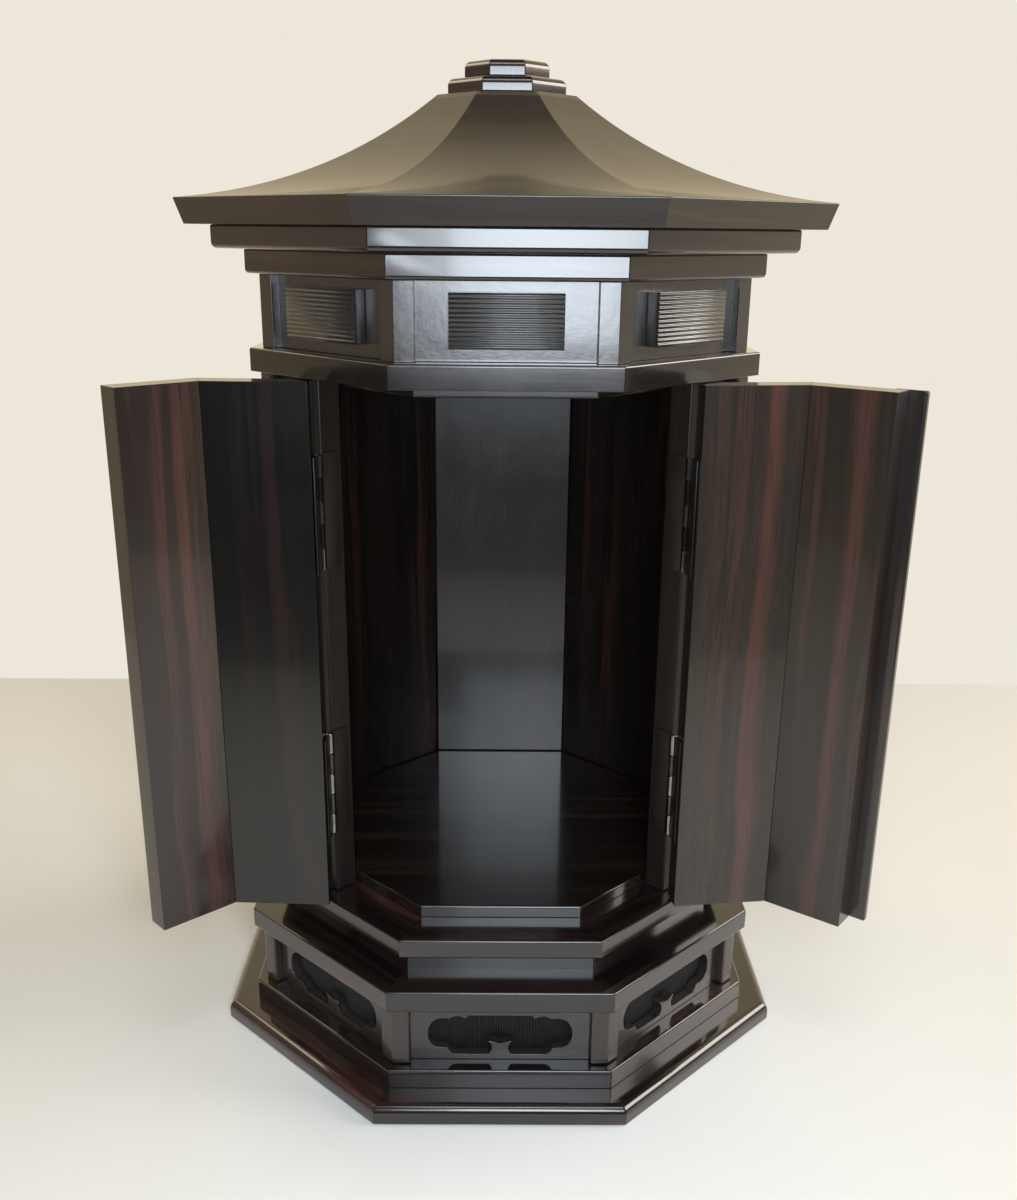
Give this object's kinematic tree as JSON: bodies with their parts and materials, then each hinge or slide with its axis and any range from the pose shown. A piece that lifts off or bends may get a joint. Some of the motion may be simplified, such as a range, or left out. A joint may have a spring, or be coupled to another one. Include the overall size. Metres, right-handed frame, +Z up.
{
  "type": "household altar cabinet",
  "caption": "Eight-sided household shrine cabinet in dark lacquered wood, with hinged angled doors, a stepped pierced plinth, a ribbed frieze and a hollow-curved roof.",
  "frame": {"origin": "middle of the underside, on the ground", "axes": "+Z up, -Y to the front where the doors open, +X to the right seen from the front"},
  "size_m": [0.3303, 0.275, 0.45],
  "materials": {
    "moulding": "gloss lacquer over near-black ebony",
    "door_board": "satin-gloss lacquer over striped ebony, upright grain",
    "roof": "satin-gloss lacquer over dark ebony",
    "post": "gloss lacquer over dark ebony",
    "panel": "gloss lacquer over dark ebony",
    "ribbed_block": "gloss black lacquer",
    "reeded_backing": "dark stained, fine upright reeds",
    "wall": "satin-gloss lacquer over striped ebony",
    "hinge_steel": "nickelled steel"
  },
  "bodies": {
    "cabinet": {"base_plate": "moulding", "base_step": "moulding", "body_post_back_left_to_left": "post", "body_post_front_right_to_right": "post", "body_post_left_to_front_left": "post", "body_post_right_to_back_right": "post", "ceiling_board": "wall", "cornice_board": "moulding", "door_jamb_left": "wall", "door_jamb_right": "wall", "eave_board": "moulding", "finial_lower": "moulding", "finial_upper": "moulding", "floor_board": "wall", "frieze": "panel", "frieze_cap": "moulding", "left_lower_hinge_frame_leaf": "hinge_steel", "left_upper_hinge_frame_leaf": "hinge_steel", "plinth_backing": "reeded_backing", "plinth_panel_back": "panel", "plinth_panel_back_left": "panel", "plinth_panel_back_right": "panel", "plinth_panel_front": "panel", "plinth_panel_front_left": "panel", "plinth_panel_front_right": "panel", "plinth_panel_left": "panel", "plinth_panel_right": "panel", "plinth_post_back_left_to_left": "post", "plinth_post_back_right_to_back": "post", "plinth_post_back_to_back_left": "post", "plinth_post_front_left_to_front": "post", "plinth_post_front_right_to_right": "post", "plinth_post_front_to_front_right": "post", "plinth_post_left_to_front_left": "post", "plinth_post_right_to_back_right": "post", "plinth_rail": "moulding", "ribbed_block_front": "ribbed_block", "ribbed_block_front_left": "ribbed_block", "ribbed_block_front_right": "ribbed_block", "ribbed_block_left": "ribbed_block", "ribbed_block_right": "ribbed_block", "right_lower_hinge_frame_leaf": "hinge_steel", "right_upper_hinge_frame_leaf": "hinge_steel", "roof": "roof", "sill_board": "moulding", "wall_back": "wall", "wall_back_left": "wall", "wall_back_right": "wall", "wall_left": "wall", "wall_right": "wall"},
    "left_door": {"left_door_hinge_board": "door_board", "left_door_meeting_board": "door_board", "left_lower_hinge_door_leaf": "hinge_steel", "left_upper_hinge_door_leaf": "hinge_steel"},
    "right_door": {"right_door_astragal": "door_board", "right_door_hinge_board": "door_board", "right_door_meeting_board": "door_board", "right_lower_hinge_door_leaf": "hinge_steel", "right_upper_hinge_door_leaf": "hinge_steel"}
  },
  "joints": [
    {"name": "left_door_hinge", "type": "hinge", "parent": "cabinet", "child": "left_door", "pos_m": [-0.07927, -0.06824, 0.2], "axis": [0, 0, 1], "range_deg": [-37, 137.4]},
    {"name": "right_door_hinge", "type": "hinge", "parent": "cabinet", "child": "right_door", "pos_m": [0.07927, -0.06824, 0.2], "axis": [0, 0, -1], "range_deg": [-33, 142]}
  ]
}
